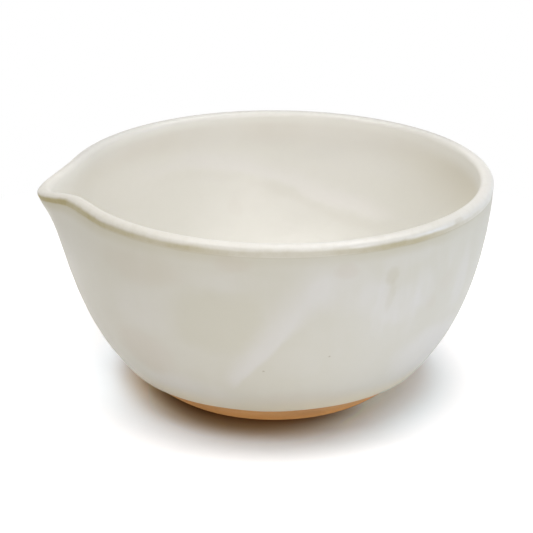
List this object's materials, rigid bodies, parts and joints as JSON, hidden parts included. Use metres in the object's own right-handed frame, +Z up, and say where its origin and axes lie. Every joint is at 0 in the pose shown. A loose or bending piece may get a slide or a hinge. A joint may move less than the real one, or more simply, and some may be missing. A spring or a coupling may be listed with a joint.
{
  "type": "spouted matcha bowl",
  "caption": "Round stoneware tea bowl with a pinched pouring spout, cream glaze inside and out and a bare flat clay foot, for whisking and pouring tea.",
  "frame": {"origin": "middle of the flat foot, on the table", "axes": "+Z up, -X out through the spout, +Y to the right of someone who looks along the spout's way of pouring"},
  "size_m": [0.1371, 0.1316, 0.066],
  "materials": {
    "bare_stoneware": "bare fired tan clay, matte, fine grain",
    "liner_glaze": "cream-white glaze, soft gloss",
    "outer_glaze": "cream-white glaze, satin, uneven coat"
  },
  "bodies": {
    "root": {"stoneware_body": "bare_stoneware", "liner_glaze": "liner_glaze", "outer_glaze": "outer_glaze"}
  },
  "joints": []
}
